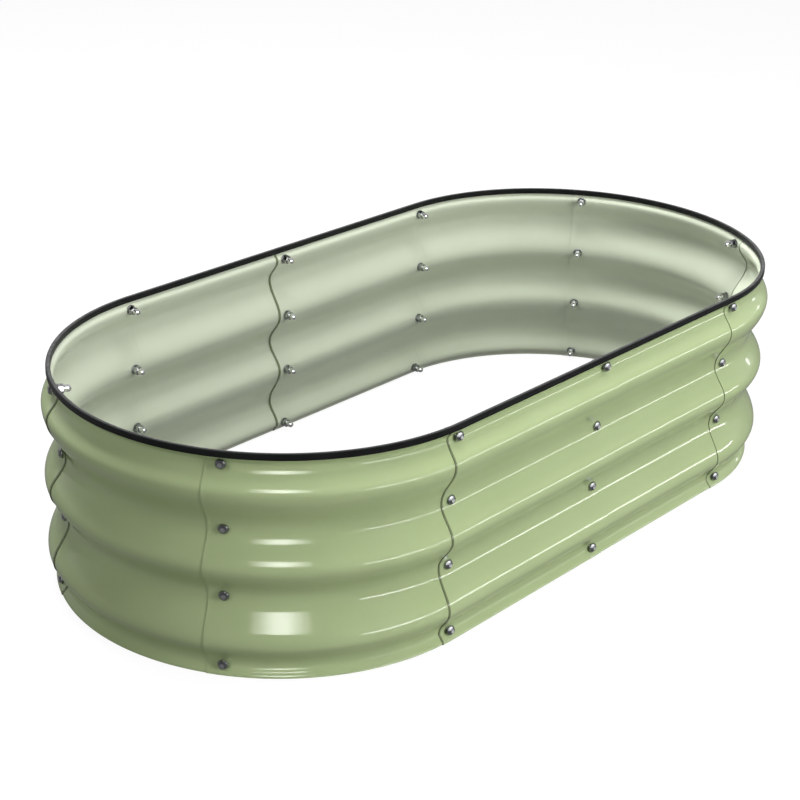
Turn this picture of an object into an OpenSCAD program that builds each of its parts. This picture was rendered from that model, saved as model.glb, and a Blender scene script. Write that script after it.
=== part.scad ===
// Raised garden bed. Ten wavy sheet steel panels are bolted edge over edge into an oval ring,
// and a rubber strip covers the cut edge round the rim. The bed is open at the top and the bottom.
// Lengths are in millimetres. X runs along the bed, the front is at -Y, and z = 0 is the ground.
// The wall is set out from its groove line, the oval at the bottom of the deep grooves.
// A station is a distance along that line, from the middle of the front towards +X.
// A reach is a distance outwards from that line, square to the wall.

/* [Bed] */
// Distance between the centres of the two round ends
end_spacing = 604; // [300:2:1200]
// Radius of the round ends at the groove line
end_r = 285.5; // [200:0.5:500]
// How far the side panels run on past the start of the round ends, to the middle of the lap
side_overrun = 3.5; // [0:0.5:20]
// How far the bolts at the end panels lie off the middle of the lap, towards the sides
end_bolt_offset = 3; // [0:0.5:6]
// How far the middle seams of both sides lie off the middle, towards the left end
middle_seam_shift = 3.5; // [-6:0.5:6]

/* [Wave] */
// Height of the lowest row of bolts above the ground
foot_h = 13; // [11:0.5:30]
// Height from one row of bolts to the next
row_pitch = 89; // [70:1:120]
// How much higher the inner rows of bolts lie than such even rows would
inner_row_lift = 1.3; // [-2:0.1:2]
// Number of rows of bolts, one more than the number of ribs
row_count = 4; // [2:1:6]
// Depth of the wave, from the groove line out to the crest of a rib
wave_depth = 21.6; // [14:0.2:26]
// Reach of the top and bottom grooves, which are shallower than the others
end_groove_reach = 5.4; // [2:0.2:8]
// Height from one crest to the next, as a share of the height between rows of bolts
crest_pitch_share = 1.12; // [1:0.01:1.2]
// Height of the flat land along each groove, between the rows of bolts
land_h = 1; // [1:0.5:8]
// Reach of the bottom edge, which flares out below the bottom groove
foot_reach = 13; // [8:0.5:16]
// Height over which the sheet turns out from the top groove to the lip
lip_rise_h = 9; // [6:0.5:16]
// Reach of the upright lip under the rubber strip
lip_reach = 11; // [8:0.2:14]
// Height of one flat step where the wave is drawn
wave_step = 3.5; // [2:0.5:8]

/* [Sheets] */
// Thickness of the sheet, measured level through the wall
sheet_t = 0.8; // [0.5:0.1:1.5]
// Gap between two sheets where they lap
nest_gap = 0.05; // [0.02:0.01:0.2]
// How far each sheet runs on past the middle of a lap
lap_reach = 16.5; // [14:0.5:30]
// How much wider the holes in the sheets are than the bolts
hole_gap = 1; // [0.4:0.1:1.5]

/* [Rubber strip] */
// Thickness of each leg of the strip
leg_t = 1.7; // [1:0.05:3]
// Height of the legs, from the edge of the sheet down
leg_h = 6.2; // [4:0.2:12]
// Thickness of the strip above the edge of the sheet
web_t = 2; // [1:0.1:4]
// Clearance between the legs and the sheets that they hold
grip_gap = 0.2; // [0.1:0.05:0.4]
// Gap between the two ends of the strip, where they meet at the back
strip_joint = 0.5; // [0.2:0.1:3]

/* [Bolts] */
// Diameter of the bolts
bolt_d = 6; // [5:0.5:7]
// Diameter of a bolt's domed head
head_d = 13.6; // [9.5:0.1:15]
// Height of a bolt's head
head_h = 4.4; // [2.6:0.1:6.5]
// Height of the upright rim round the foot of a head
head_rim_h = 1; // [0.3:0.1:2.5]
// Diameter of the flat on top of a head
head_flat_d = 6.8; // [5:0.1:8]
// Width across the flats of the hexagonal socket in a head
socket_af = 4; // [3:0.5:4.2]
// Depth of the socket
socket_depth = 2.5; // [1:0.1:3.5]
// Length of thread that a bolt screws into its nut
thread_grip = 12; // [5:0.5:14]

/* [Washers and cap nuts] */
// Diameter of the washers
washer_d = 14; // [10.5:0.1:16]
// Thickness of the washers
washer_t = 1.6; // [0.8:0.1:2.5]
// How much wider the holes in the washers are than the bolts
washer_gap = 0.4; // [0.2:0.1:0.8]
// Width across the flats of a cap nut
nut_af = 11; // [9.6:0.1:11.5]
// Height of the hexagonal part of a cap nut
nut_hex_h = 7; // [4:0.5:8]
// Diameter of a nut's domed cap
cap_d = 9.2; // [8.8:0.1:9.5]
// Thickness of metal between a nut's blind hole and the top of its cap
cap_wall = 3; // [2:0.1:4]
// Free depth past the tip of the bolt in the nut
tip_gap = 2; // [0.4:0.1:3]
// Clearance all round the bolt in its nut
thread_gap = 0.05; // [0.02:0.01:0.1]

/* [Hidden] */
$fn = 180;
// Fineness of the round edges of fasteners and of their holes
fastener_fn = 48;
// Number of panels along each side and round each end
side_panels = 2;
end_panels = 3;
// Roundness of the strip's cross-section: 2 is an ellipse, and more is squarer
strip_power = 3.4;
strip_points = 40;
// How far every cut runs on past what it cuts
overrun = 5;
// Angle of the chamfers that take the corners off the nuts
chamfer_angle = 30;
// How far each nut and each bolt is turned past the one below it, in degrees
nut_turn = 23;
socket_turn = 17;

// The panels in order from the middle of the front, each with its layer, 0 for the innermost.
// Neighbours differ by one layer, so each lap is two sheets face to face.
PANELS = [
    ["front_right_side_panel", 1],
    ["front_right_corner_panel", 2],
    ["right_end_panel", 1],
    ["back_right_corner_panel", 2],
    ["back_right_side_panel", 1],
    ["back_left_side_panel", 2],
    ["back_left_corner_panel", 1],
    ["left_end_panel", 0],
    ["front_left_corner_panel", 1],
    ["front_left_side_panel", 2],
];

// The seams in the same order. Seam i is where panel i begins.
SEAMS = [
    "front_middle",
    "front_right",
    "right_end_front",
    "right_end_back",
    "back_right",
    "back_middle",
    "back_left",
    "left_end_back",
    "left_end_front",
    "front_left",
];

FASTENERS = ["bolts", "washers", "cap_nuts"];

layer_pitch = sheet_t + nest_gap;
top_layer = max([for (panel = PANELS) panel[1]]);
side_half = end_spacing / 2;
end_len = PI * end_r;
half_ring = end_spacing + end_len;
ring_len = 2 * half_ring;
end_panel_len = end_len / end_panels;
side_panel_len = end_spacing / side_panels + side_overrun;
lip_h = leg_h + nest_gap;
panel_top = row_z(row_count - 1) + land_h / 2 + lip_rise_h + lip_h;
slot_w = top_layer * layer_pitch + sheet_t + 2 * grip_gap;
strip_w = slot_w + 2 * leg_t;
strip_h = leg_h + web_t;
strip_mid_reach = lip_reach + (top_layer * layer_pitch - sheet_t) / 2;
hole_d = bolt_d + hole_gap;
nut_bore_d = bolt_d + 2 * thread_gap;
nut_hole_depth = thread_grip + tip_gap;
nut_h = nut_hole_depth + cap_wall;

// Height of a row of bolts, counted from 0 at the bottom
function row_z(row) =
    foot_h + row * row_pitch + (row == 0 || row == row_count - 1 ? 0 : inner_row_lift);

// Reach of the bottom of a groove. The first and the last one are the shallow ones.
function groove_reach(row) = row == 0 || row == row_count - 1 ? end_groove_reach : 0;

// Height of the crest above a row of bolts. The crests are spread evenly about the middle of the rows.
function crest_z(row) =
    let (rows_middle = (row_z(0) + row_z(row_count - 1)) / 2, crests_middle = (row_count - 2) / 2)
    rows_middle + (row - crests_middle) * crest_pitch_share * row_pitch;

// The wave's turning points from the ground up, each as [reach, height]
TURNS = concat(
    [[foot_reach, 0]],
    [
        for (row = [0 : row_count - 1])
            each concat(
                [[groove_reach(row), row_z(row) - land_h / 2], [groove_reach(row), row_z(row) + land_h / 2]],
                row < row_count - 1 ? [[wave_depth, crest_z(row)]] : []
            )
    ],
    [[lip_reach, panel_top - lip_h], [lip_reach, panel_top]]
);

// Half a cosine wave that rises from 0 to 1 as the share goes from 0 to 1
function ease(share) = (1 - cos(180 * share)) / 2;

// Points of the wave from one turning point up to the next one, without the last
function wave_span(low, high) =
    let (steps = low[0] == high[0] ? 1 : ceil((high[1] - low[1]) / wave_step))
    [
        for (step = [0 : steps - 1])
            [low[0] + (high[0] - low[0]) * ease(step / steps), low[1] + (high[1] - low[1]) * step / steps]
    ];

// Outer face of the innermost layer, from the ground up, each point as [reach, height]
WAVE = concat(
    [for (i = [0 : len(TURNS) - 2]) each wave_span(TURNS[i], TURNS[i + 1])],
    [TURNS[len(TURNS) - 1]]
);

// Reach of that face at any height
function wave_reach(z) = lookup(z, [for (point = WAVE) [point[1], point[0]]]);

// Reach at which a flat disc of radius r rests on the groove of a row, from the outside
function disc_seat(row, r) =
    max(groove_reach(row), wave_reach(row_z(row) - r), wave_reach(min(row_z(row) + r, panel_top)));

// How far the middle of a flat disc of radius r stays off the hollow side of a round end
function disc_sag(r) = end_r - sqrt(end_r * end_r - r * r);

// Station of a seam's bolts, with the seam after the last one a full turn on from the first.
// The middle of its lap is there too, but for an offset at the four seams of the end panels.
function seam_station(seam, bolt_offset) =
    let (half_seams = len(SEAMS) / 2, half = floor(seam / half_seams), place = seam % half_seams)
    half * half_ring + [
        half % 2 == 0 ? -middle_seam_shift : middle_seam_shift,
        side_panel_len,
        side_half + end_panel_len - bolt_offset,
        side_half + 2 * end_panel_len + bolt_offset,
        half_ring - side_panel_len
    ][place];
function bolt_station(seam) = seam_station(seam, end_bolt_offset);
function lap_station(seam) = seam_station(seam, 0);

function layer(panel) = PANELS[(panel + len(PANELS)) % len(PANELS)][1];
function outer_layer(seam) = max(layer(seam), layer(seam - 1));
function inner_layer(seam) = min(layer(seam), layer(seam - 1));

// The five stretches of the ring as [first station, last station, x of its centre, heading at its start].
// A straight stretch has its centre at its last station, and heading 0 runs towards +X.
STRETCHES = [
    [0, side_half, side_half, 0],
    [side_half, side_half + end_len, side_half, 0],
    [side_half + end_len, 3 * side_half + end_len, -side_half, 180],
    [3 * side_half + end_len, 3 * side_half + 2 * end_len, -side_half, 180],
    [3 * side_half + 2 * end_len, ring_len, 0, 0],
];
function is_round(stretch) = stretch % 2 == 1;
function turn_angle(distance) = distance / end_r * 180 / PI;

// Stations run on past a full turn and below 0, so a place is first brought back onto the ring
function on_ring(station) = station - ring_len * floor(station / ring_len);
function stretch_at(station) =
    max([for (i = [0 : len(STRETCHES) - 1]) if (on_ring(station) >= STRETCHES[i][0]) i]);

// Puts what it holds on the groove line at a station and a height, with +Z pointing out of the wall
module at_wall(station, z) {
    i = stretch_at(station);
    stretch = STRETCHES[i];
    left = stretch[1] - on_ring(station);
    heading = is_round(i) ? stretch[3] + turn_angle(on_ring(station) - stretch[0]) : stretch[3];
    back = is_round(i) ? 0 : left * cos(stretch[3]);
    translate([stretch[2] - back, 0, z]) rotate([90, 0, heading]) translate([0, 0, end_r]) children();
}

// Turns what it holds back to front along an axis, where that is asked for
module reversed(asked, axis) {
    if (asked) mirror(axis) children();
    else children();
}

// Carries a flat shape, drawn as [reach, height], along the wall from one station to another.
// Each stretch is drawn from the end where the wall runs on, so that they meet face to face.
module along_wall(from, to) {
    for (turn = [-1 : 1])
        for (i = [0 : len(STRETCHES) - 1]) {
            stretch = STRETCHES[i];
            first = stretch[0] + turn * ring_len;
            last = stretch[1] + turn * ring_len;
            start = max(from, first);
            end = min(to, last);
            onward = start == first;
            if (end > start) {
                if (is_round(i))
                    translate([stretch[2], 0, 0])
                        rotate([0, 0, stretch[3] + (onward ? 0 : turn_angle(end - first)) - 90])
                            reversed(!onward, [0, 1, 0])
                                rotate_extrude(angle = turn_angle(end - start))
                                    translate([end_r, 0])
                                        children();
                else
                    translate([stretch[2] - (last - (onward ? start : end)) * cos(stretch[3]), 0, 0])
                        rotate([90, 0, stretch[3] - 90])
                            reversed(onward, [0, 0, 1])
                                linear_extrude(end - start)
                                    translate([end_r, 0])
                                        children();
            }
        }
}

// Cross-section of the sheet in a layer
module sheet_section(level) {
    out = level * layer_pitch;
    polygon(concat(
        [for (point = WAVE) [point[0] + out, point[1]]],
        [for (i = [len(WAVE) - 1 : -1 : 0]) [WAVE[i][0] + out - sheet_t, WAVE[i][1]]]
    ));
}

module bolt_holes(seam) {
    for (row = [0 : row_count - 1])
        at_wall(bolt_station(seam), row_z(row))
            translate([0, 0, groove_reach(row) - overrun])
                cylinder(h = top_layer * layer_pitch + 2 * overrun, d = hole_d, $fn = fastener_fn);
}

// One wavy panel, with a row of holes along each of its two bolt lines
module panel(i) {
    color("#aebd92")
        difference() {
            along_wall(lap_station(i) - lap_reach, lap_station(i + 1) + lap_reach)
                sheet_section(layer(i));
            bolt_holes(i);
            bolt_holes(i + 1);
        }
}

// Cross-section of the rubber strip: a rounded bar with a slot up the middle for the sheets
module strip_section() {
    difference() {
        translate([strip_mid_reach, panel_top + web_t - strip_h / 2])
            polygon([
                for (i = [0 : strip_points - 1])
                    let (a = 360 * i / strip_points)
                    [
                        sign(cos(a)) * pow(abs(cos(a)), 2 / strip_power) * strip_w / 2,
                        sign(sin(a)) * pow(abs(sin(a)), 2 / strip_power) * strip_h / 2
                    ]
            ]);
        translate([strip_mid_reach - slot_w / 2, panel_top - leg_h - overrun])
            square([slot_w, leg_h + overrun]);
    }
}

// The strip, pushed onto the rim all the way round, with its ends meeting at the back
module rim_strip() {
    joint = half_ring + side_panel_len / 2;
    color("#1b1b1d")
        along_wall(joint - ring_len + strip_joint / 2, joint - strip_joint / 2)
            strip_section();
}

// A domed bolt with a hexagonal socket. Its head stands on z = 0, and its shank points down.
module bolt(length) {
    rim_r = head_d / 2;
    flat_r = head_flat_d / 2;
    dome_z = (flat_r ^ 2 + head_h ^ 2 - rim_r ^ 2 - head_rim_h ^ 2) / (2 * (head_h - head_rim_h));
    dome_r = sqrt(rim_r ^ 2 + (head_rim_h - dome_z) ^ 2);
    difference() {
        union() {
            intersection() {
                cylinder(h = head_h, r = rim_r);
                translate([0, 0, dome_z]) sphere(r = dome_r);
            }
            translate([0, 0, -length]) cylinder(h = length + head_rim_h, d = bolt_d);
        }
        translate([0, 0, head_h - socket_depth])
            cylinder(h = socket_depth + overrun, d = socket_af / cos(30), $fn = 6);
    }
}

// A flat washer, whose outer face is at z = 0
module washer() {
    translate([0, 0, -washer_t])
        difference() {
            cylinder(h = washer_t, d = washer_d);
            translate([0, 0, -overrun]) cylinder(h = washer_t + 2 * overrun, d = bolt_d + washer_gap);
        }
}

// A cap nut, whose seat is at z = 0 and whose dome points down
module cap_nut() {
    flat_r = nut_af / 2;
    corner_r = flat_r / cos(30);
    // The chamfers' cones are drawn out this far past the flats, which is past the corners too
    cone_w = corner_r / 2;
    cone_h = cone_w * tan(chamfer_angle);
    cap_r = cap_d / 2;
    difference() {
        union() {
            intersection() {
                translate([0, 0, -nut_hex_h]) cylinder(h = nut_hex_h, r = corner_r, $fn = 6);
                rotate_extrude()
                    polygon([
                        [0, 0],
                        [flat_r, 0],
                        [flat_r + cone_w, -cone_h],
                        [flat_r + cone_w, cone_h - nut_hex_h],
                        [flat_r, -nut_hex_h],
                        [0, -nut_hex_h]
                    ]);
            }
            translate([0, 0, cap_r - nut_h]) cylinder(h = nut_h - cap_r, r = cap_r);
            translate([0, 0, cap_r - nut_h]) sphere(r = cap_r);
        }
        translate([0, 0, -nut_hole_depth]) cylinder(h = nut_hole_depth + overrun, d = nut_bore_d);
    }
}

// Reach of the under side of a bolt's head, and of the outer face of its washer
function head_seat(seam, row) = disc_seat(row, head_d / 2) + outer_layer(seam) * layer_pitch;
function washer_seat(seam, row) =
    groove_reach(row) + inner_layer(seam) * layer_pitch - sheet_t - disc_sag(washer_d / 2);

// Length of a bolt under its head: through the sheets and the washer, and into the nut
function bolt_length(seam, row) = head_seat(seam, row) - washer_seat(seam, row) + washer_t + thread_grip;

module bolts(seam) {
    color("silver")
        for (row = [0 : row_count - 1])
            at_wall(bolt_station(seam), row_z(row))
                translate([0, 0, head_seat(seam, row)])
                    rotate([0, 0, socket_turn * (row + seam)])
                        bolt(bolt_length(seam, row), $fn = fastener_fn);
}

module washers(seam) {
    color("gainsboro")
        for (row = [0 : row_count - 1])
            at_wall(bolt_station(seam), row_z(row))
                translate([0, 0, washer_seat(seam, row)])
                    washer($fn = fastener_fn);
}

module cap_nuts(seam) {
    color("lightgray")
        for (row = [0 : row_count - 1])
            at_wall(bolt_station(seam), row_z(row))
                translate([0, 0, washer_seat(seam, row) - washer_t])
                    rotate([0, 0, nut_turn * (row + seam)])
                        cap_nut($fn = fastener_fn);
}

for (i = [0 : len(PANELS) - 1])
    panel(i);

rim_strip();

for (i = [0 : len(SEAMS) - 1]) {
    bolts(i);
    washers(i);
    cap_nuts(i);
}
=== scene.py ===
import bmesh
import bpy
import numpy as np
from mathutils import Matrix


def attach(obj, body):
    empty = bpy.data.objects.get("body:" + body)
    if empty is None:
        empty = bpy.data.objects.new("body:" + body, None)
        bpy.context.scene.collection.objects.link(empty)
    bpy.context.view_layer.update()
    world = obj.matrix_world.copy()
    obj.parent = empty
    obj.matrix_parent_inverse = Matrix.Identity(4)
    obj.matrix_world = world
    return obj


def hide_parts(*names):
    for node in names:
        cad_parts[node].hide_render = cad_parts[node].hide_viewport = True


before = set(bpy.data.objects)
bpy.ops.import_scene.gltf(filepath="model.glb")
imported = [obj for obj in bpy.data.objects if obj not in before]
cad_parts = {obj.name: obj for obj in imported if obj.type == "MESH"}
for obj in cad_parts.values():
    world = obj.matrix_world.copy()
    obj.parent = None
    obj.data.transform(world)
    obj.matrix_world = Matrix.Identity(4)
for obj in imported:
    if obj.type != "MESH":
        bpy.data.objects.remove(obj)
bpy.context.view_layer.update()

# Wavy panels
# Ten panels of 0.8 mm galvanised sheet steel. Each is roll-formed into lengthways ribs, the end ones
# are rolled again to the radius of the bed, and all are powder coated sage green, paler inside.
# They lap edge over edge, and both sheets of a lap are punched for the bolts.
MM = 0.001

# Lengths are in millimetres. The groove line runs round the bed at the bottom of the deep grooves.
END_SPACING = 604.0
END_RADIUS = 285.5
SIDE_HALF = END_SPACING / 2
END_LENGTH = np.pi * END_RADIUS
HALF_RING = END_SPACING + END_LENGTH
RING = 2 * HALF_RING


def groove_line(station):
    """Point and outward direction of the oval line at the bottom of the deep grooves. A station is a
    distance along that line from the middle of the front: straight, half circle, straight, half circle."""
    along = np.mod(np.asarray(station, float), RING)
    from_middle = np.where(along > HALF_RING + SIDE_HALF + END_LENGTH, along - RING, along)
    turned = np.mod(from_middle + SIDE_HALF, HALF_RING) - SIDE_HALF
    other_side = np.mod(np.floor((from_middle + SIDE_HALF) / HALF_RING), 2) == 1
    sign = np.where(other_side, -1.0, 1.0)
    angle = np.maximum(turned - SIDE_HALF, 0.0) / END_RADIUS - np.pi / 2
    outward = np.stack([np.cos(angle), np.sin(angle)], -1)
    point = END_RADIUS * outward
    point[..., 0] += np.minimum(turned, SIDE_HALF)
    return point * sign[..., None], outward * sign[..., None]


# Turning points of the wave as reach past the groove line and height, from the ground to the rim
WAVE_TURNS = np.array([
    (13.0, 0.0), (5.4, 12.5), (5.4, 13.5), (21.6, 46.82), (0.0, 102.8), (0.0, 103.8), (21.6, 146.5),
    (0.0, 191.8), (0.0, 192.8), (21.6, 246.18), (5.4, 279.5), (5.4, 280.5), (11.0, 289.5), (11.0, 295.75),
])
RIM_HEIGHT = WAVE_TURNS[-1, 1]


def wave(height):
    """Reach of the wall past the groove line: half a cosine wave between each two turning points."""
    height = np.clip(height, WAVE_TURNS[0, 1], RIM_HEIGHT)
    below = np.clip(np.searchsorted(WAVE_TURNS[:, 1], height, side="right") - 1, 0, len(WAVE_TURNS) - 2)
    reach_0, height_0 = np.moveaxis(WAVE_TURNS[below], -1, 0)
    reach_1, height_1 = np.moveaxis(WAVE_TURNS[below + 1], -1, 0)
    share = (height - height_0) / (height_1 - height_0)
    return reach_0 + (reach_1 - reach_0) * (1 - np.cos(np.pi * share)) / 2


def on_wall(station, reach, height):
    """Point at a station of the groove line, moved outwards by the reach, at a height. In metres."""
    point, outward = groove_line(station)
    flat = point + outward * np.asarray(reach)[..., None]
    return np.concatenate([flat, np.broadcast_to(height, flat.shape[:-1])[..., None]], -1) * MM


def steps(*marks):
    """Even steps from mark to mark. The marks alternate with the number of cells between them."""
    spans = [np.linspace(marks[i], marks[i + 2], marks[i + 1] + 1)[1:] for i in range(0, len(marks) - 2, 2)]
    return np.concatenate([[marks[0]]] + spans)


def grid_quads(index):
    """The four corners of every cell of a grid of point numbers."""
    corners = [index[:-1, :-1], index[1:, :-1], index[1:, 1:], index[:-1, 1:]]
    return np.stack(corners, -1)


SHEET_SHARP = 40.0


def make_mesh(name, points, quads, sharp=SHEET_SHARP):
    """A mesh of four-cornered faces, smooth except where it turns by more than the sharp angle."""
    points = np.asarray(points, np.float32).reshape(-1, 3)
    quads = np.asarray(quads, np.int32).reshape(-1, 4)
    mesh = bpy.data.meshes.new(name)
    mesh.vertices.add(len(points))
    mesh.vertices.foreach_set("co", points.ravel())
    mesh.loops.add(quads.size)
    mesh.loops.foreach_set("vertex_index", quads.ravel())
    mesh.polygons.add(len(quads))
    mesh.polygons.foreach_set("loop_start", np.arange(0, quads.size, 4, dtype=np.int32))
    mesh.polygons.foreach_set("use_smooth", np.ones(len(quads), bool))
    mesh.update(calc_edges=True)
    mesh.validate()
    mesh.set_sharp_from_angle(angle=np.radians(sharp))
    piece = bpy.data.objects.new(name, mesh)
    bpy.context.scene.collection.objects.link(piece)
    return piece


def put_in_place(piece, node, material):
    """Gives a piece its material, hides the CAD node that it stands for, and fixes the piece to the bed."""
    piece.data.materials.append(material)
    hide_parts(node)
    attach(piece, "root")


def noise(tree, where, scale, detail):
    """Noise of so many lumps to the metre."""
    node = tree.nodes.new("ShaderNodeTexNoise")
    node.inputs["Scale"].default_value = scale
    node.inputs["Detail"].default_value = detail
    node.inputs["Roughness"].default_value = 0.5
    tree.links.new(where, node.inputs["Vector"])
    return node.outputs["Fac"]


def spread(tree, value, low, high, from_low=0.3, from_high=0.7):
    """A value of noise, about 0.3 to 0.7, or of another range, spread from low to high."""
    node = tree.nodes.new("ShaderNodeMapRange")
    node.inputs["From Min"].default_value = from_low
    node.inputs["From Max"].default_value = from_high
    node.inputs["To Min"].default_value = low
    node.inputs["To Max"].default_value = high
    tree.links.new(value, node.inputs["Value"])
    return node.outputs["Result"]


def blend_colour(tree, share, colour_a, colour_b):
    """Colour a where the share is 0, colour b where it is 1."""
    node = tree.nodes.new("ShaderNodeMix")
    node.data_type = "RGBA"
    tree.links.new(share, node.inputs["Factor"])
    for socket, colour in (("A", colour_a), ("B", colour_b)):
        target = [s for s in node.inputs if s.name == socket and s.type == "RGBA"][0]
        if isinstance(colour, tuple):
            target.default_value = (*colour, 1.0)
        else:
            tree.links.new(colour, target)
    return [s for s in node.outputs if s.type == "RGBA"][0]


def bumped(tree, shader, height, strength, distance):
    """Bump of the shader's surface from a height."""
    node = tree.nodes.new("ShaderNodeBump")
    node.inputs["Strength"].default_value = strength
    node.inputs["Distance"].default_value = distance
    tree.links.new(height, node.inputs["Height"])
    tree.links.new(node.outputs["Normal"], shader.inputs["Normal"])


def new_material(name):
    """An empty material with its shader, its node tree and the object's own coordinates."""
    material = bpy.data.materials.new(name)
    material.use_nodes = True
    tree = material.node_tree
    shader = tree.nodes["Principled BSDF"]
    where = tree.nodes.new("ShaderNodeTexCoord").outputs["Object"]
    return material, tree, shader, where


OUTSIDE_LIGHT = (0.470, 0.572, 0.304)
OUTSIDE_DEEP = (0.445, 0.545, 0.284)
INSIDE_LIGHT = (0.656, 0.708, 0.566)
INSIDE_DEEP = (0.632, 0.684, 0.542)
# Dark green of the cut edges and of the bands of cells beside them: painted shade of the gaps in the seams
CUT_EDGE_SHADE = (0.18, 0.215, 0.115)
COAT_ROUGHNESS = (0.085, 0.095)
COAT_CLOUDS = (9.0, 4.0)
COAT_GLOSS_NOISE = (60.0, 3.0)
ORANGE_PEEL = (420.0, 2.0)
ORANGE_PEEL_BUMP = (0.018, 0.0002)
FACE_OUTSIDE, FACE_INSIDE, FACE_SHADED_EDGE = 0.0, 1.0, 2.0


def sage_coat():
    """Gloss powder coat: faint clouds of colour and a fine orange peel. The cut edges, and bands of cells
    beside some of them, are painted dark green as painted shade of the seams' gaps.
    """
    material, tree, shader, where = new_material("sage_powder_coat")
    clouds = spread(tree, noise(tree, where, *COAT_CLOUDS), 0.0, 1.0)
    outside = blend_colour(tree, clouds, OUTSIDE_DEEP, OUTSIDE_LIGHT)
    inside = blend_colour(tree, clouds, INSIDE_DEEP, INSIDE_LIGHT)
    face = tree.nodes.new("ShaderNodeAttribute")
    face.attribute_name = "face_of_sheet"
    # The numbers of the three kinds of face, 0, 1 and 2, are told apart half way between them
    is_inside = spread(tree, face.outputs["Fac"], 0.0, 1.0, 0.4, 0.6)
    is_shaded_edge = spread(tree, face.outputs["Fac"], 0.0, 1.0, 1.4, 1.6)
    both = blend_colour(tree, is_inside, outside, inside)
    tree.links.new(blend_colour(tree, is_shaded_edge, both, CUT_EDGE_SHADE), shader.inputs["Base Color"])
    gloss = spread(tree, noise(tree, where, *COAT_GLOSS_NOISE), *COAT_ROUGHNESS)
    tree.links.new(gloss, shader.inputs["Roughness"])
    bumped(tree, shader, noise(tree, where, *ORANGE_PEEL), *ORANGE_PEEL_BUMP)
    return material


SHEET = 0.8
LAYER_PITCH = 0.85
LAP_REACH = 16.5
SIDE_OVERRUN = 3.5
END_BOLT_OFFSET = 3.0
MIDDLE_SEAM_X = -3.5
HOLE_RADIUS = 3.5

# Each panel with the layer it lies in, counted outwards. Seam i is where panel i begins.
PANELS = [
    ("front_right_side_panel", 1), ("front_right_corner_panel", 2), ("right_end_panel", 1),
    ("back_right_corner_panel", 2), ("back_right_side_panel", 1), ("back_left_side_panel", 2),
    ("back_left_corner_panel", 1), ("left_end_panel", 0), ("front_left_corner_panel", 1),
    ("front_left_side_panel", 2),
]
OUTERMOST_REACH = WAVE_TURNS[:, 0].max() + max(layer for _, layer in PANELS) * LAYER_PITCH

# How far the cut edges stand off at each seam, and over how long a stretch they bend away
SPRINGS = [0.15, 0.15, 0.3, 0.3, 0.3, 0.5, 0.3, 0.5, 0.15, 0.15]
SPRING_LENGTH = 7.0
STRIP_FOOT = 289.0

# How many columns of cells along the cut edges of each seam are painted dark, as painted shade of the
# seam's gap
EDGE_SHADE_CELLS = [0, 1, 0, 0, 0, 4, 0, 4, 0, 3]

# Square rings of cells lie round every hole, and the innermost of them are cut out for it
ROW_HEIGHTS = np.array([13.0, 103.3, 192.3, 280.0])
RING_CELLS = 5
HOLE_CELLS = 2
HOLE_HALF = 8.0
LAP_CELLS = 9
PANEL_CELLS = 56
ROW_CELLS = 46
HEIGHTS = steps(
    0.0, 4, 5.0, 2 * RING_CELLS, 21.0, ROW_CELLS, 95.3, 2 * RING_CELLS, 111.3, ROW_CELLS,
    184.3, 2 * RING_CELLS, 200.3, ROW_CELLS, 272.0, 2 * RING_CELLS, 288.0, 5, RIM_HEIGHT,
)


def seam_station(seam, bolt_offset=0.0):
    """Station of a seam's lap, or of its bolts, which lie off the lap's middle at the end panels."""
    third = END_LENGTH / 3
    places = [
        MIDDLE_SEAM_X * (-1) ** (seam // 5),
        SIDE_HALF + SIDE_OVERRUN,
        SIDE_HALF + third - bolt_offset,
        SIDE_HALF + 2 * third + bolt_offset,
        HALF_RING - SIDE_HALF - SIDE_OVERRUN,
    ]
    return (seam // 5) * HALF_RING + places[seam % 5]


def bolt_station(seam):
    """Station of the middle of a seam's bolts."""
    return seam_station(seam, END_BOLT_OFFSET)


def round_the_hole(station, height, column, row, centre):
    """Moves the grid round a hole so that its square rings of points turn into circles, fully at the
    hole and less and less outwards, until the last ring keeps its place."""
    reach = np.arange(-RING_CELLS, RING_CELLS + 1)
    across, up = np.meshgrid(reach, reach, indexing="ij")
    ring = np.maximum(abs(across), abs(up))
    wide = abs(across) >= abs(up)
    long_side = np.where(wide, across, up)
    short_side = np.where(wide, up, across)
    eighth = np.pi / 4 * short_side / np.where(long_side == 0, 1, abs(long_side))
    circle_long = np.cos(eighth) * np.sign(long_side)
    circle_short = np.sin(eighth)
    direction = np.where(wide, (circle_long, circle_short), (circle_short, circle_long))
    radius = np.where(
        ring <= HOLE_CELLS,
        HOLE_RADIUS * ring / HOLE_CELLS,
        HOLE_RADIUS + (HOLE_HALF - HOLE_RADIUS) * (ring - HOLE_CELLS) / (RING_CELLS - HOLE_CELLS),
    )
    roundness = np.clip((RING_CELLS - ring) / (RING_CELLS - HOLE_CELLS), 0.0, 1.0)
    columns = slice(column - RING_CELLS, column + RING_CELLS + 1)
    rows = slice(row - RING_CELLS, row + RING_CELLS + 1)
    for grid, middle, part in ((station, centre[0], direction[0]), (height, centre[1], direction[1])):
        grid[columns, rows] += roundness * (middle + radius * part - grid[columns, rows])


def sprung_edge(from_edge, seam, own, other):
    """How far a cut edge stands off its neighbour: its spring, less and less towards the bolts."""
    away = 1.0 if PANELS[own][1] > PANELS[other][1] else -1.0
    return away * SPRINGS[seam] * np.clip(1 - from_edge / SPRING_LENGTH, 0.0, 1.0) ** 2


def hole_rim():
    """Column and row of the points once round a hole, counted from its middle."""
    there = range(-HOLE_CELLS, HOLE_CELLS)
    back = range(HOLE_CELLS, -HOLE_CELLS, -1)
    return np.array(
        [(a, -HOLE_CELLS) for a in there] + [(HOLE_CELLS, b) for b in there]
        + [(a, HOLE_CELLS) for a in back] + [(-HOLE_CELLS, b) for b in back]
    )


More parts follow.
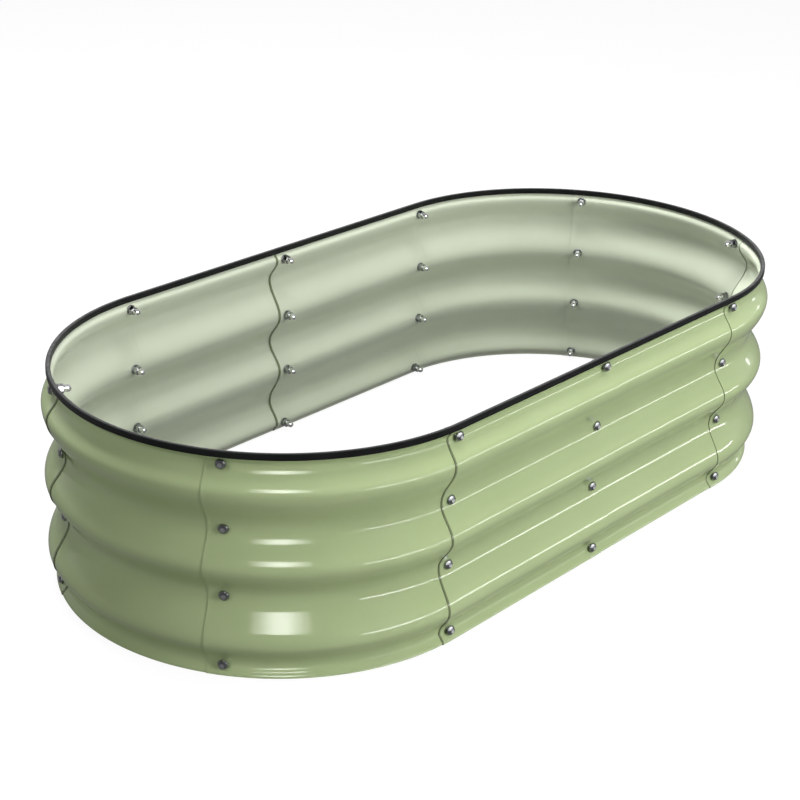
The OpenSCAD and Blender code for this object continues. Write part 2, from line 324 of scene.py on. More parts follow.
def panel(i):
    """A closed shell: the outer face, the inner face one sheet thickness further in, and strips of
    faces between them along the four cut edges and round every hole."""
    name, layer = PANELS[i]
    after = (i + 1) % len(PANELS)
    first, last = seam_station(i) - LAP_REACH, seam_station(i + 1) + LAP_REACH
    bolts = bolt_station(i), bolt_station(i + 1)
    stations = steps(
        first, LAP_CELLS, bolts[0] - HOLE_HALF, 2 * RING_CELLS, bolts[0] + HOLE_HALF, PANEL_CELLS,
        bolts[1] - HOLE_HALF, 2 * RING_CELLS, bolts[1] + HOLE_HALF, LAP_CELLS, last,
    )
    station, height = np.meshgrid(stations, HEIGHTS, indexing="ij")
    hole_columns = [int(np.argmin(abs(stations - at))) for at in bolts]
    hole_rows = [int(np.argmin(abs(HEIGHTS - at))) for at in ROW_HEIGHTS]
    keep = np.ones((len(stations) - 1, len(HEIGHTS) - 1), bool)
    turn = hole_rim()
    rims = []
    for at, column in zip(bolts, hole_columns):
        for row_height, row in zip(ROW_HEIGHTS, hole_rows):
            round_the_hole(station, height, column, row, (at, row_height))
            keep[column - HOLE_CELLS:column + HOLE_CELLS, row - HOLE_CELLS:row + HOLE_CELLS] = False
            rims.append((turn[:, 0] + column) * len(HEIGHTS) + turn[:, 1] + row)
    sprung = sprung_edge(station - first, i, i, i - 1) + sprung_edge(last - station, after, i, after)
    under_strip = np.clip((STRIP_FOOT - height) / SPRING_LENGTH, 0.0, 1.0)
    reach = wave(height) + layer * LAYER_PITCH + sprung * under_strip
    reach = np.minimum(reach, OUTERMOST_REACH)
    points = np.concatenate([
        on_wall(station, reach, height).reshape(-1, 3),
        on_wall(station, reach - SHEET, height).reshape(-1, 3),
    ])
    outer = np.arange(station.size).reshape(station.shape)
    inner = outer + station.size
    faces_out = grid_quads(outer)[keep]
    faces_in = grid_quads(inner)[keep][:, ::-1]
    border = np.concatenate([outer[:, 0], outer[-1, 1:], outer[-2::-1, -1], outer[0, -2:0:-1]])
    edges = []
    for loop, step in [(border, -1)] + [(rim, 1) for rim in rims]:
        ahead = np.roll(loop, -1)
        edges.append(np.stack([loop, ahead, ahead + station.size, loop + station.size], -1)[:, ::step])
    faces_edge = np.concatenate(edges)
    piece = make_mesh(name + "_sheet", points, np.concatenate([faces_out, faces_in, faces_edge]))
    # Painted shade: the first columns of cells along the cut edges take the dark edge colour
    edge_shade = np.zeros(keep.shape, bool)
    edge_shade[:EDGE_SHADE_CELLS[i]] = True
    edge_shade[len(edge_shade) - EDGE_SHADE_CELLS[after]:] = True
    edge_shade = edge_shade[keep]
    side = np.concatenate([
        np.where(edge_shade, FACE_SHADED_EDGE, FACE_OUTSIDE), np.where(edge_shade, FACE_SHADED_EDGE, FACE_INSIDE),
        np.full(len(faces_edge), FACE_SHADED_EDGE),
    ]).astype(np.float32)
    piece.data.attributes.new("face_of_sheet", "FLOAT", "FACE").data.foreach_set("value", side)
    return piece


SAGE = sage_coat()
for i, (name, _) in enumerate(PANELS):
    put_in_place(panel(i), name, SAGE)

# Bolts
# Forty M6 steel bolts, zinc plated, four to a seam. Each head is a low dome, cold forged with a
# hexagonal socket, and stands on the outer sheet. The shank is rolled with a 1 mm thread.
SEAMS = [
    "front_middle", "front_right", "right_end_front", "right_end_back", "back_right",
    "back_middle", "back_left", "left_end_back", "left_end_front", "front_left",
]
ROUND_CELLS = 48
ANGLES = np.linspace(0, 2 * np.pi, ROUND_CELLS, endpoint=False)
FASTENER_SHARP = 32.0
SAME_POINT = 1e-7
WASHER_THICKNESS = 1.6
WASHER_RADIUS = 7.0

HEAD_RADIUS = 6.8
HEAD_HEIGHT = 4.4
HEAD_RIM = 1.0
HEAD_FLAT_RADIUS = 3.4
DOME_RINGS = 10
# Rounded lower edge of the head, as distance in from its side and height over its underside
HEAD_EDGE = [(0.25, 0.0), (0.07, 0.06), (0.0, 0.2)]

SOCKET_HALF = 2.0
SOCKET_DEPTH = 2.5
SOCKET_EDGE = 0.15
SOCKET_MOUTH = 2.5
SOCKET_LAND = 2.65
SOCKET_FLOOR_EDGE = 0.1
SOCKET_FLOOR_SHARE = 0.9
SOCKET_CONE = 0.4
SOCKET_TURN = 17.0

SHANK_RADIUS = 3.0
SHANK_NECK = 0.3
TIP_RADIUS = 2.2
TIP_CHAMFER = 0.35
THREAD_ROOT = 2.55
THREAD_PITCH = 1.0
THREAD_RINGS = 6
THREAD_MARGIN = 0.6
THREAD_FULLNESS = 1.15
THREAD_GRIP = 12.0


def outer_layer(seam):
    """Layer of the sheet on top at a seam."""
    return max(PANELS[seam][1], PANELS[seam - 1][1])


def inner_layer(seam):
    """Layer of the sheet underneath at a seam."""
    return min(PANELS[seam][1], PANELS[seam - 1][1])


def disc_seat(row, radius):
    """Reach at which a flat disc rests on the groove of a row, from the outside."""
    z = ROW_HEIGHTS[row]
    edges = np.array([z, z - radius, min(z + radius, RIM_HEIGHT)])
    return wave(edges).max()


def head_seat(seam, row):
    """Reach of the underside of a head: where it rests on the outer sheet of the seam."""
    return disc_seat(row, HEAD_RADIUS) + outer_layer(seam) * LAYER_PITCH


def washer_seat(seam, row):
    """Reach of the washer's outer face: the inner sheet's inner face, less the sag of a flat washer
    on the hollow side of a round end."""
    sag = END_RADIUS - np.sqrt(END_RADIUS ** 2 - WASHER_RADIUS ** 2)
    return wave(ROW_HEIGHTS[row]) + inner_layer(seam) * LAYER_PITCH - SHEET - sag


def nut_seat(seam, row):
    """Reach of a cap nut's outer face, which rests on the washer."""
    return washer_seat(seam, row) - WASHER_THICKNESS


def hexagon(angle, half_width):
    """Distance from the middle of a hexagon to its side, at an angle: half the width across the
    flats over the cosine of the angle to the nearest flat."""
    off_flat = np.mod(angle, np.pi / 3) - np.pi / 6
    return half_width / np.cos(off_flat)


def turned_surface(radius, height):
    """Closed surface of rings about an axis. Each ring has its own radius at every angle and its own
    height, and the first and the last ring shrink to a point or are the same ring."""
    radius = np.broadcast_to(radius, (len(height), ROUND_CELLS))
    height = np.broadcast_to(np.asarray(height)[:, None], radius.shape)
    points = np.stack([radius * np.cos(ANGLES), radius * np.sin(ANGLES), height], -1)
    index = np.arange(height.size).reshape(height.shape)
    index = np.concatenate([index, index[:, :1]], 1)
    return points.reshape(-1, 3), grid_quads(index).reshape(-1, 4)[:, ::-1]


def merge_poles(piece):
    """Joins points that lie on each other, where rings shrink to a point or are the same, and takes
    out the empty faces there."""
    work = bmesh.new()
    work.from_mesh(piece.data)
    bmesh.ops.remove_doubles(work, verts=work.verts, dist=SAME_POINT)
    work.to_mesh(piece.data)
    work.free()
    piece.data.set_sharp_from_angle(angle=np.radians(FASTENER_SHARP))


def plain_rings(profile):
    """Round rings from a profile of radii and heights."""
    return [(np.full(ROUND_CELLS, radius), height) for radius, height in profile]


def thread_rings(length):
    """Rings of a thread whose ridge winds once round in a pitch, and fades out at both ends."""
    count = int((length - 2 * THREAD_MARGIN) / THREAD_PITCH * THREAD_RINGS)
    height = np.linspace(THREAD_MARGIN - length, -THREAD_MARGIN, count)
    phase = np.mod(height[:, None] / THREAD_PITCH - ANGLES / (2 * np.pi), 1.0)
    ridge = np.clip((1 - abs(2 * phase - 1)) * THREAD_FULLNESS, 0, 1)
    from_ends = np.minimum(height + length - THREAD_MARGIN, -THREAD_MARGIN - height)
    fade = np.clip(from_ends / THREAD_PITCH, 0, 1)[:, None]
    radius = THREAD_ROOT + (SHANK_RADIUS - THREAD_ROOT) * ridge * fade
    return list(zip(radius, height))


def bolt_shape(seam, row):
    """Rings of a bolt from the tip up: chamfered end, thread, shank, head and socket. The dome is
    the arc through the top of the head's rim and the edge of its flat, about a centre on the axis."""
    length = head_seat(seam, row) - washer_seat(seam, row) + WASHER_THICKNESS + THREAD_GRIP
    tip = [(0.0, -length), (TIP_RADIUS, -length), (THREAD_ROOT, TIP_CHAMFER - length)]
    dome_z = (HEAD_FLAT_RADIUS ** 2 + HEAD_HEIGHT ** 2 - HEAD_RADIUS ** 2 - HEAD_RIM ** 2) / (
        2 * (HEAD_HEIGHT - HEAD_RIM))
    dome_radius = np.hypot(HEAD_RADIUS, HEAD_RIM - dome_z)
    arc = np.linspace(np.arctan2(HEAD_RIM - dome_z, HEAD_RADIUS),
                      np.arctan2(HEAD_HEIGHT - dome_z, HEAD_FLAT_RADIUS), DOME_RINGS)
    neck = [(SHANK_RADIUS, -SHANK_NECK), (SHANK_RADIUS, 0.0)]
    edge = [(HEAD_RADIUS - inwards, z) for inwards, z in HEAD_EDGE]
    dome = list(zip(dome_radius * np.cos(arc), dome_z + dome_radius * np.sin(arc)))
    corner = hexagon(ANGLES, SOCKET_HALF)
    floor = HEAD_HEIGHT - SOCKET_DEPTH
    socket = [
        (np.minimum(corner + SOCKET_EDGE, SOCKET_MOUTH), HEAD_HEIGHT),
        (corner, HEAD_HEIGHT - SOCKET_EDGE),
        (corner, floor + SOCKET_FLOOR_EDGE),
        (corner * SOCKET_FLOOR_SHARE, floor),
        (np.zeros(ROUND_CELLS), floor - SOCKET_CONE),
    ]
    rings = plain_rings(tip) + thread_rings(length)
    rings += plain_rings(neck + edge + dome + [(SOCKET_LAND, HEAD_HEIGHT)]) + socket
    return turned_surface(np.array([r for r, _ in rings]), np.array([z for _, z in rings]))


def at_wall(points, station, seat, z, turn):
    """Turns points about their own axis, and stands them on the wall with that axis pointing out."""
    cos, sin = np.cos(np.radians(turn)), np.sin(np.radians(turn))
    across = points[:, 0] * cos - points[:, 1] * sin
    up = points[:, 0] * sin + points[:, 1] * cos
    foot, outward = groove_line(station)
    along = np.array([-outward[1], outward[0]])
    flat = foot + np.outer(across, along) + np.outer(points[:, 2] + seat, outward)
    return np.column_stack([flat, up + z]) * MM


def seam_piece(name, seam, shape, seat, turn):
    """The four pieces of one kind in a seam, one to a row, as separate closed shells in one mesh."""
    points, quads, own, count = [], [], [], 0
    for row, z in enumerate(ROW_HEIGHTS):
        own_points, own_quads = shape(seam, row)
        own.append(own_points)
        points.append(at_wall(own_points, bolt_station(seam), seat(seam, row), z, turn * (row + seam)))
        quads.append(own_quads + count)
        count += len(own_points)
    piece = make_mesh(name, np.concatenate(points), np.concatenate(quads))
    own = np.concatenate(own)
    for attribute, value in (("from_axis", np.hypot(own[:, 0], own[:, 1])), ("along_axis", own[:, 2])):
        piece.data.attributes.new(attribute, "FLOAT", "POINT").data.foreach_set("value", value)
    merge_poles(piece)
    return piece


def put_in_seams(kind, made, shape, seat, turn, material):
    """One kind of fastener in all the seams. The pieces are named after how they are made."""
    for seam, seam_name in enumerate(SEAMS):
        node = f"{seam_name}_{kind}"
        put_in_place(seam_piece(f"{node}_{made}", seam, shape, seat, turn), node, material)


ZINC_MOTTLE = (260.0, 4.0)
ZINC_GLOSS_NOISE = (700.0, 3.0)
ZINC_SCUFFS = (1500.0, 2.0)
ZINC_SCUFF_BUMP = (0.12, 0.0001)


def zinc(name, light, deep, roughness):
    """Zinc plate: bright metal with a mottled tone, faint scuffs and slightly uneven gloss."""
    material, tree, shader, where = new_material(name)
    tone = spread(tree, noise(tree, where, *ZINC_MOTTLE), 0.0, 1.0)
    tree.links.new(blend_colour(tree, tone, deep, light), shader.inputs["Base Color"])
    gloss = spread(tree, noise(tree, where, *ZINC_GLOSS_NOISE), *roughness)
    tree.links.new(gloss, shader.inputs["Roughness"])
    shader.inputs["Metallic"].default_value = 1.0
    bumped(tree, shader, noise(tree, where, *ZINC_SCUFFS), *ZINC_SCUFF_BUMP)
    return material


def combined(tree, operation, value_a, value_b):
    """Two values put together by a maths operation."""
    node = tree.nodes.new("ShaderNodeMath")
    node.operation = operation
    tree.links.new(value_a, node.inputs[0])
    tree.links.new(value_b, node.inputs[1])
    return node.outputs[0]


def finish_where(material, places, colour, roughness):
    """Another colour and roughness where all these values of a point lie in their own range. A value
    is the distance from the axis or the height along it, in millimetres."""
    tree = material.node_tree
    shader = tree.nodes["Principled BSDF"]
    share = None
    for attribute, begins, full in places:
        node = tree.nodes.new("ShaderNodeAttribute")
        node.attribute_name = attribute
        own = spread(tree, node.outputs["Fac"], 0.0, 1.0, begins, full)
        share = own if share is None else combined(tree, "MULTIPLY", share, own)
    plated = shader.inputs["Base Color"].links[0].from_socket
    tree.links.new(blend_colour(tree, share, plated, colour), shader.inputs["Base Color"])
    gloss = tree.nodes.new("ShaderNodeMix")
    tree.links.new(share, gloss.inputs["Factor"])
    tree.links.new(shader.inputs["Roughness"].links[0].from_socket, gloss.inputs["A"])
    gloss.inputs["B"].default_value = roughness
    tree.links.new(gloss.outputs["Result"], shader.inputs["Roughness"])


BOLT_ZINC = zinc("bolt_zinc", light=(0.37, 0.38, 0.39), deep=(0.24, 0.25, 0.25), roughness=(0.12, 0.20))
IN_THE_SOCKET = [("from_axis", 2.75, 2.45), ("along_axis", 0.6, 1.4)]
finish_where(BOLT_ZINC, IN_THE_SOCKET, colour=(0.85, 0.86, 0.87), roughness=0.5)
put_in_seams("bolts", "turned", bolt_shape, head_seat, SOCKET_TURN, BOLT_ZINC)

# Washers
# Forty flat steel washers, stamped and zinc plated, one against the inner sheet under each nut.
# Stamping rounds the edge on one side.
WASHER_HOLE = 3.2
WASHER_EDGE = 0.25


def washer_shape(seam, row):
    """A ring whose section is a rectangle with its corners cut, the outer one on one side rounded."""
    out, hole, edge, deep = WASHER_RADIUS, WASHER_HOLE, WASHER_EDGE, -WASHER_THICKNESS
    section = np.array([
        (hole, -edge / 2), (hole + edge / 2, 0.0), (out - edge, 0.0), (out - edge / 4, -edge / 4),
        (out, -edge), (out, deep + edge / 2), (out - edge / 2, deep), (hole + edge / 2, deep),
        (hole, deep + edge / 2), (hole, -edge / 2),
    ])
    return turned_surface(section[::-1, :1], section[::-1, 1])


WASHER_ZINC = zinc("washer_zinc", light=(0.42, 0.43, 0.44), deep=(0.30, 0.31, 0.32), roughness=(0.24, 0.36))
put_in_seams("washers", "stamped", washer_shape, washer_seat, 0.0, WASHER_ZINC)

# Cap nuts
# Forty M6 cap nuts of zinc plated steel, inside the bed. Each is a hexagon with its corners turned
# off, a short neck and a round cap over the end of the bolt, polished brighter than the flats.
NUT_HALF = 5.5
NUT_HEX_HEIGHT = 7.0
NUT_HEIGHT = 17.0
NUT_FACE_EDGE = 0.1
NUT_COUNTERSINK = 0.45
NUT_BORE = 3.05
NUT_BORE_DEPTH = 14.0
# End of the blind hole, as radius and height over its bottom
NUT_BORE_END = [(0.0, 0.0), (2.0, 0.1), (NUT_BORE, 0.8)]
# Neck between the hexagon and the cap, as radius and distance below the hexagon
NUT_NECK = [(4.35, 0.0), (4.1, 0.2), (4.1, 0.7), (4.45, 1.1)]
CAP_RADIUS = 4.6
CAP_RINGS = 10
CHAMFER_SLOPE = np.tan(np.radians(30.0))
CHAMFER_RINGS = 7
NUT_TURN = 23.0


def cap_nut_shape(seam, row):
    """Rings from the bottom of the blind hole, out over the seat, down the hexagon, whose radius at
    each angle is cut off by the chamfers' cones, and over the cap to its pole."""
    flats = hexagon(ANGLES, NUT_HALF)
    chamfer = (NUT_HALF / np.cos(np.pi / 6) - NUT_HALF) * CHAMFER_SLOPE
    bore = [(r, z - NUT_BORE_DEPTH) for r, z in NUT_BORE_END] + [(NUT_BORE, -NUT_COUNTERSINK)]
    face = [(NUT_BORE + NUT_COUNTERSINK, 0.0), (NUT_HALF - NUT_FACE_EDGE, 0.0)]
    depths = np.linspace(0.0, 1.0, CHAMFER_RINGS)
    cone = [np.minimum(flats, NUT_HALF + depth * chamfer / CHAMFER_SLOPE) for depth in depths]
    near = [(radius, -depth * chamfer) for radius, depth in zip(cone, depths)]
    far = [(radius, depth * chamfer - NUT_HEX_HEIGHT) for radius, depth in zip(cone, depths)][::-1]
    length = NUT_HEX_HEIGHT - 2 * chamfer
    straight = [(flats, -chamfer - share * length) for share in np.linspace(0.1, 0.9, 5)]
    neck = [(r, -NUT_HEX_HEIGHT - z) for r, z in NUT_NECK]
    arc = np.linspace(0.0, np.pi / 2, CAP_RINGS)
    cap = list(zip(CAP_RADIUS * np.cos(arc), CAP_RADIUS - NUT_HEIGHT - CAP_RADIUS * np.sin(arc)))
    rings = plain_rings(bore + face) + near + straight + far + plain_rings(neck + cap)
    radius = np.array([r for r, _ in rings])[::-1]
    radius[0] = 0.0
    return turned_surface(radius, np.array([z for _, z in rings])[::-1])


NUT_ZINC = zinc("nut_zinc", light=(0.56, 0.57, 0.58), deep=(0.38, 0.39, 0.40), roughness=(0.07, 0.14))
ON_THE_CAP = [("along_axis", -7.3, -8.1)]
finish_where(NUT_ZINC, ON_THE_CAP, colour=(0.80, 0.81, 0.82), roughness=0.10)
put_in_seams("cap_nuts", "turned", cap_nut_shape, nut_seat, NUT_TURN, NUT_ZINC)

# Rubber strip
# One length of extruded black rubber edging, pushed down over the cut top edges of the sheets all
# the way round. Its ends meet at the back. The outer leg has a shallow rib near its lower edge.
STRIP_MIDDLE = 11.45
STRIP_TOP = 297.75
STRIP_HEIGHT = 8.2
STRIP_WIDTH = 6.3
STRIP_SLOT = 2.9
STRIP_LEG = 6.2
STRIP_JOINT = 0.5
STRIP_POWER = 3.4
STRIP_SHARP = 50.0
# Flank of a leg with its rib, as distance in from the strip's side and height over its foot
STRIP_FLANK = [
    (0.45, 0.0), (0.1, 0.3), (0.0, 0.8), (0.0, 1.9), (0.12, 2.25), (0.5, 2.5), (0.5, 3.0), (0.12, 3.4),
]
FOOT_EDGE = 0.25
SLOT_EDGE = 0.2
SLOT_CORNER = 0.3
CROWN_POINTS = 30
ROUND_STEPS = 180
SIDE_STEPS = 24


def strip_section():
    """Outer and inner line of the strip's section, with as many points each. The crown is half of a
    superellipse: the cosine and sine of an angle, each to the power of 2 over STRIP_POWER."""
    foot, side = STRIP_SLOT / 2, STRIP_WIDTH / 2
    low, top = -STRIP_HEIGHT / 2, STRIP_HEIGHT / 2
    slot_top = low + STRIP_LEG
    angle = np.pi * np.linspace(0, 1, CROWN_POINTS)
    crown_x = np.sign(np.cos(angle)) * abs(np.cos(angle)) ** (2 / STRIP_POWER) * side
    crown_z = abs(np.sin(angle)) ** (2 / STRIP_POWER) * top
    leg = np.array([(foot + FOOT_EDGE, low)] + [(side - inwards, low + z) for inwards, z in STRIP_FLANK])
    outer = np.concatenate([leg, np.column_stack([crown_x, crown_z]), (leg * (-1, 1))[::-1]])
    wall_z = np.linspace(low + SLOT_EDGE, slot_top - SLOT_CORNER, len(leg))
    wall = np.column_stack([np.full(len(leg), foot), wall_z])
    over_x = np.linspace(foot - SLOT_EDGE, SLOT_EDGE - foot, CROWN_POINTS)
    over = np.column_stack([over_x, np.full(CROWN_POINTS, slot_top)])
    return outer, np.concatenate([wall, over, (wall * (-1, 1))[::-1]])


def rim_strip():
    """The strip's section carried along the groove line from one side of the joint to the other."""
    outer, slot = strip_section()
    section = np.concatenate([outer, slot[::-1]])
    joint = HALF_RING + (SIDE_HALF + SIDE_OVERRUN) / 2
    first, last = joint - RING + STRIP_JOINT / 2, joint - STRIP_JOINT / 2
    stations = steps(first, SIDE_STEPS, -SIDE_HALF - END_LENGTH, ROUND_STEPS, -SIDE_HALF, 2 * SIDE_STEPS,
                     SIDE_HALF, ROUND_STEPS, SIDE_HALF + END_LENGTH, SIDE_STEPS, last)
    station, reach = np.meshgrid(stations, section[:, 0] + STRIP_MIDDLE, indexing="ij")
    height = np.broadcast_to(section[:, 1] + STRIP_TOP - STRIP_HEIGHT / 2, station.shape)
    points = on_wall(station, reach, height).reshape(-1, 3)
    index = np.arange(station.size).reshape(station.shape)
    index = np.concatenate([index, index[:, :1]], 1)
    side = grid_quads(index).reshape(-1, 4)
    count = len(outer)
    ends = []
    for row, step in ((index[0], -1), (index[-1], 1)):
        first_line, second_line = row[:count], row[count:2 * count][::-1]
        quads = np.stack([first_line[:-1], first_line[1:], second_line[1:], second_line[:-1]], -1)
        ends.append(quads[:, ::step])
    return make_mesh("rim_strip_extruded", points, np.concatenate([side] + ends), STRIP_SHARP)


RUBBER_BLACK = (0.005, 0.006, 0.006)
RUBBER_DUSTY = (0.010, 0.011, 0.011)
RUBBER_ROUGHNESS = (0.34, 0.50)
RUBBER_SPECULAR = 0.3
RUBBER_DUST = (45.0, 5.0)
RUBBER_GLOSS_NOISE = (150.0, 4.0)
RUBBER_GRAIN = (1400.0, 3.0)
RUBBER_GRAIN_BUMP = (0.15, 0.0001)


def rubber():
    """Satin black rubber: fine grain, faint dust and slightly uneven gloss."""
    material, tree, shader, where = new_material("black_rubber")
    dust = spread(tree, noise(tree, where, *RUBBER_DUST), 0.0, 1.0)
    tree.links.new(blend_colour(tree, dust, RUBBER_BLACK, RUBBER_DUSTY), shader.inputs["Base Color"])
    gloss = spread(tree, noise(tree, where, *RUBBER_GLOSS_NOISE), *RUBBER_ROUGHNESS)
    tree.links.new(gloss, shader.inputs["Roughness"])
    shader.inputs["Specular IOR Level"].default_value = RUBBER_SPECULAR
    bumped(tree, shader, noise(tree, where, *RUBBER_GRAIN), *RUBBER_GRAIN_BUMP)
    return material


put_in_place(rim_strip(), "rim_strip", rubber())

# Floor
# A plain white studio floor. The camera sees it lit to white, with a soft shadow under the bed.
FLOOR_HALF = 30.0
FLOOR_BOUNCE = 0.21
FLOOR_GLOW = 0.93
FLOOR_SHADED = 0.10


def light_path(tree, *kinds):
    """1 for rays of any of the kinds, and 0 for the others."""
    path = tree.nodes.new("ShaderNodeLightPath")
    total = path.outputs[kinds[0]]
    for kind in kinds[1:]:
        total = combined(tree, "MAXIMUM", total, path.outputs[kind])
    return total


def glowing(shader, base, glow):
    """A matt grey surface that gives off white light."""
    shader.inputs["Base Color"].default_value = (base, base, base, 1)
    shader.inputs["Roughness"].default_value = 1.0
    shader.inputs["Specular IOR Level"].default_value = 0.0
    shader.inputs["Emission Color"].default_value = (1, 1, 1, 1)
    shader.inputs["Emission Strength"].default_value = glow


floor_points = np.array([(-1, -1, 0), (1, -1, 0), (1, 1, 0), (-1, 1, 0)]) * FLOOR_HALF
floor = make_mesh("studio_floor", floor_points, [[0, 1, 2, 3]])
floor_material, tree, shader, _ = new_material("white_floor")
glowing(shader, 0.0, FLOOR_BOUNCE)
seen = tree.nodes.new("ShaderNodeBsdfPrincipled")
glowing(seen, FLOOR_SHADED, FLOOR_GLOW)
either = tree.nodes.new("ShaderNodeMixShader")
tree.links.new(light_path(tree, "Is Camera Ray"), either.inputs["Fac"])
tree.links.new(shader.outputs[0], either.inputs[1])
tree.links.new(seen.outputs[0], either.inputs[2])
tree.links.new(either.outputs[0], tree.nodes["Material Output"].inputs["Surface"])
floor.data.materials.append(floor_material)

# Studio light
# A white room round the bed, and large lamps above it, at both ends, in front and behind, that light
# it evenly. Other lamps and cards show only as reflections in the coat, the metal and the rubber.
ROOM_WHITE = 1.0
ROOM_LIGHT = 0.0
ROOM_GLOSS = 0.15
ROOM_FAR_GLOSS = 0.6
AWAY_FROM_CAMERA = (0.76, 0.65, 0.0)
FAR_GLOSS_BEGINS = -0.1
FAR_GLOSS_FULL = 0.5

world = bpy.data.worlds.new("white_room")
bpy.context.scene.world = world
world.use_nodes = True
tree = world.node_tree
backdrop = tree.nodes["Background"]
backdrop.inputs["Color"].default_value = (1, 1, 1, 1)
seen_directly = light_path(tree, "Is Camera Ray", "Is Transmission Ray")
level = spread(tree, seen_directly, ROOM_LIGHT, ROOM_WHITE, 0.0, 1.0)
ahead = tree.nodes.new("ShaderNodeVectorMath")
ahead.operation = "DOT_PRODUCT"
ahead.inputs[1].default_value = AWAY_FROM_CAMERA
tree.links.new(tree.nodes.new("ShaderNodeTexCoord").outputs["Generated"], ahead.inputs[0])
gloss = spread(tree, ahead.outputs["Value"], ROOM_GLOSS, ROOM_FAR_GLOSS, FAR_GLOSS_BEGINS, FAR_GLOSS_FULL)
choose = tree.nodes.new("ShaderNodeMix")
tree.links.new(light_path(tree, "Is Glossy Ray"), choose.inputs["Factor"])
tree.links.new(level, choose.inputs["A"])
tree.links.new(gloss, choose.inputs["B"])
tree.links.new(choose.outputs["Result"], backdrop.inputs["Strength"])

LAMP_AIM = np.array([0.0, 0.0, 0.15])


def axes_from(azimuth, elevation):
    """Right, up and backward directions of something level that looks back from a direction."""
    azimuth, elevation = np.radians(azimuth), np.radians(elevation)
    back = np.array([np.cos(azimuth) * np.cos(elevation), np.sin(azimuth) * np.cos(elevation),
                     np.sin(elevation)])
    right = np.cross((0, 0, 1), back)
    right /= np.linalg.norm(right)
    return right, np.cross(back, right), back


def stand_at(thing, place, right, up, back):
    """Puts an object at a place with these directions as its own axes, and adds it to the scene."""
    pose = np.eye(4)
    pose[:3] = np.column_stack([right, up, back, place])
    thing.matrix_world = Matrix(pose.tolist())
    bpy.context.scene.collection.objects.link(thing)


def lamp(name, azimuth, elevation, size, radiance, shape="RECTANGLE", distance=3.2):
    """A lamp at a direction and distance from the bed's middle, which it faces. Its power is four
    times its area times the brightness of its face."""
    data = bpy.data.lights.new(name, "AREA")
    data.shape = shape
    data.size, data.size_y = size
    data.energy = 4 * size[0] * size[1] * radiance
    lamp_object = bpy.data.objects.new(name, data)
    right, up, back = axes_from(azimuth, elevation)
    stand_at(lamp_object, LAMP_AIM + back * distance, right, up, back)
    lamp_object.visible_camera = False
    return lamp_object


def show_only_in(lamp_object, pieces):
    """Lets a lamp show only as a reflection, and only in these pieces."""
    lamp_object.visible_diffuse = False
    shown = bpy.data.collections.new(lamp_object.name + "_shown")
    for piece in pieces:
        shown.objects.link(bpy.data.objects[piece])
    lamp_object.light_linking.receiver_collection = shown


# Large lamps behind diffusers light the coat evenly, and don't show in it
for name, azimuth, elevation, size, radiance in (
    ("overhead_lamp", 0.0, 89.9, (1.6, 1.6), 7.2),
    ("high_front_lamp", -60.0, 60.0, (1.2, 1.2), 2.6),
    ("high_back_lamp", 90.0, 60.0, (1.2, 1.2), 11.0),
    ("front_lamp", -90.0, 30.0, (1.2, 1.2), 4.8),
    ("right_lamp", -30.0, 30.0, (1.2, 1.2), 2.5),
    ("left_lamp", 180.0, 30.0, (1.2, 1.2), 4.0),
    ("low_front_lamp", -90.0, 8.0, (1.2, 0.8), 9.7),
):
    lamp(name, azimuth, elevation, size, radiance).visible_glossy = False

# Two long lamps near the ground, far off to the front, draw a line along each rib of the front
FRONT_SHEETS = ["front_left_corner_panel_sheet", "front_left_side_panel_sheet",
                "front_right_side_panel_sheet", "front_right_corner_panel_sheet"]
for name, azimuth, size, radiance in (
    ("line_lamp", -48.0, (10.5, 0.5), 10.5),
    ("line_lamp_end", -85.0, (7.6, 0.5), 18.0),
):
    line = lamp(name, azimuth, elevation=0.45, size=size, radiance=radiance, distance=14.0)
    show_only_in(line, FRONT_SHEETS)

# Four lamps beside the camera, one behind the other, add up to a glow in the near curve that fades
# to both sides. They stand apart, because only the first of several lamps at one distance shows.
for name, size, distance in (
    ("curve_widest_lamp", (1.3, 0.8), 3.2),
    ("curve_wide_lamp", (0.98, 0.82), 3.3),
    ("curve_narrow_lamp", (0.7, 0.85), 3.4),
    ("curve_narrowest_lamp", (0.4, 0.87), 3.5),
):
    curve_lamp = lamp(name, azimuth=-140.0, elevation=23.5, size=size, radiance=2.5, distance=distance)
    show_only_in(curve_lamp, ["front_left_corner_panel_sheet"])

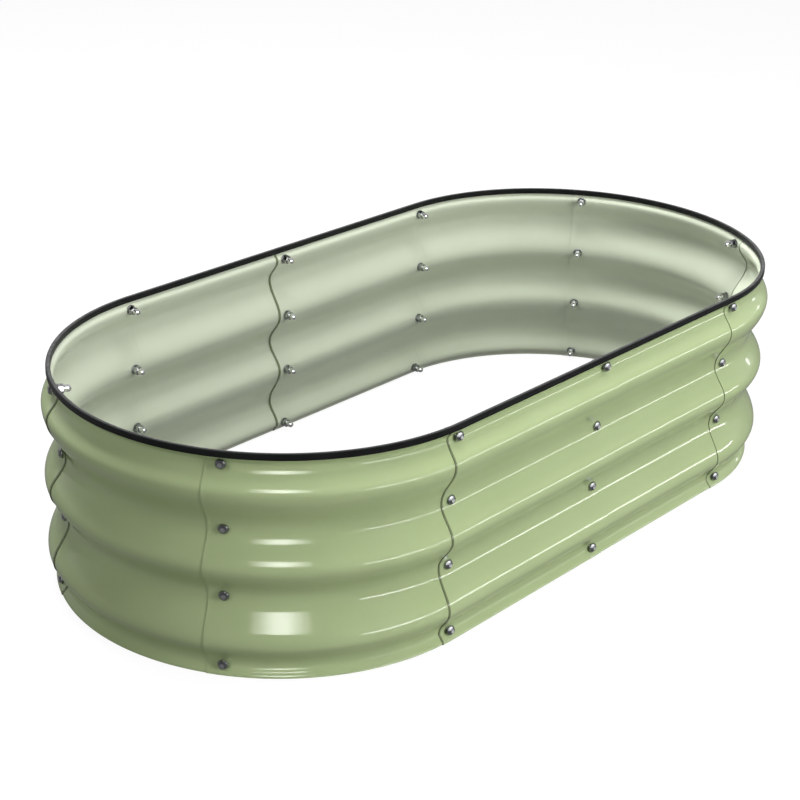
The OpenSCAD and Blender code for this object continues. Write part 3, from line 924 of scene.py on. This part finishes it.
# A far lamp high up shows on the steep slopes of the near curve, and a small one in the far curve
high_lamp = lamp("curve_high_lamp", azimuth=-140.0, elevation=52.0, size=(4.6, 0.5), radiance=13.0,
                 shape="ELLIPSE", distance=12.0)
show_only_in(high_lamp, ["front_left_corner_panel_sheet"])
side_lamp = lamp("side_lamp", azimuth=-12.0, elevation=5.0, size=(0.14, 0.14), radiance=3.5, shape="DISK")
show_only_in(side_lamp, ["front_right_corner_panel_sheet"])

# White cards that only the metal and the rubber reflect. The camera sees the bolts of one seam nearly
# from the side, so they have a card of their own.
END_SEAM = "left_end_front"
END_BOLTS = [END_SEAM + "_bolts_turned"]
OTHER_BOLTS = [seam + "_bolts_turned" for seam in SEAMS if seam != END_SEAM]
CAP_NUTS = [seam + "_cap_nuts_turned" for seam in SEAMS]
for name, azimuth, elevation, size, radiance, shown_in in (
    ("bolt_card", -100.0, 31.0, (9.0, 3.4), 1.3, OTHER_BOLTS),
    ("bolt_core_card", -84.0, 46.0, (3.4, 1.5), 1.6, OTHER_BOLTS),
    ("end_bolt_card", -76.0, 26.0, (2.4, 2.4), 0.8, END_BOLTS),
    ("nut_card", -132.0, 36.0, (5.0, 3.6), 2.4, CAP_NUTS),
    ("strip_card", 40.0, 27.0, (4.0, 1.2), 1.4, ["rim_strip_extruded"]),
):
    show_only_in(lamp(name, azimuth, elevation, size, radiance), shown_in)

# Camera
# A long lens on a tripod in front of the left end of the bed, looking down at it.
LENS_PIXELS = 1835.05
FRAME_PIXELS = 800
SENSOR = 36.0
CAMERA_PLACE = (-1.85819, -1.52798, 1.19443)
CAMERA_AZIMUTH = -139.51
CAMERA_ELEVATION = 23.72
CAMERA_ROLL = np.radians(1.78)

level_right, level_up, back = axes_from(CAMERA_AZIMUTH, CAMERA_ELEVATION)
right = np.cos(CAMERA_ROLL) * level_right + np.sin(CAMERA_ROLL) * level_up
up = np.cos(CAMERA_ROLL) * level_up - np.sin(CAMERA_ROLL) * level_right
camera_data = bpy.data.cameras.new("camera")
camera_data.sensor_fit = "HORIZONTAL"
camera_data.sensor_width = SENSOR
camera_data.lens = SENSOR * LENS_PIXELS / FRAME_PIXELS
camera_data.clip_end = 100.0
camera = bpy.data.objects.new("camera", camera_data)
stand_at(camera, CAMERA_PLACE, right, up, back)
bpy.context.scene.camera = camera
bpy.context.scene.view_settings.view_transform = "Standard"
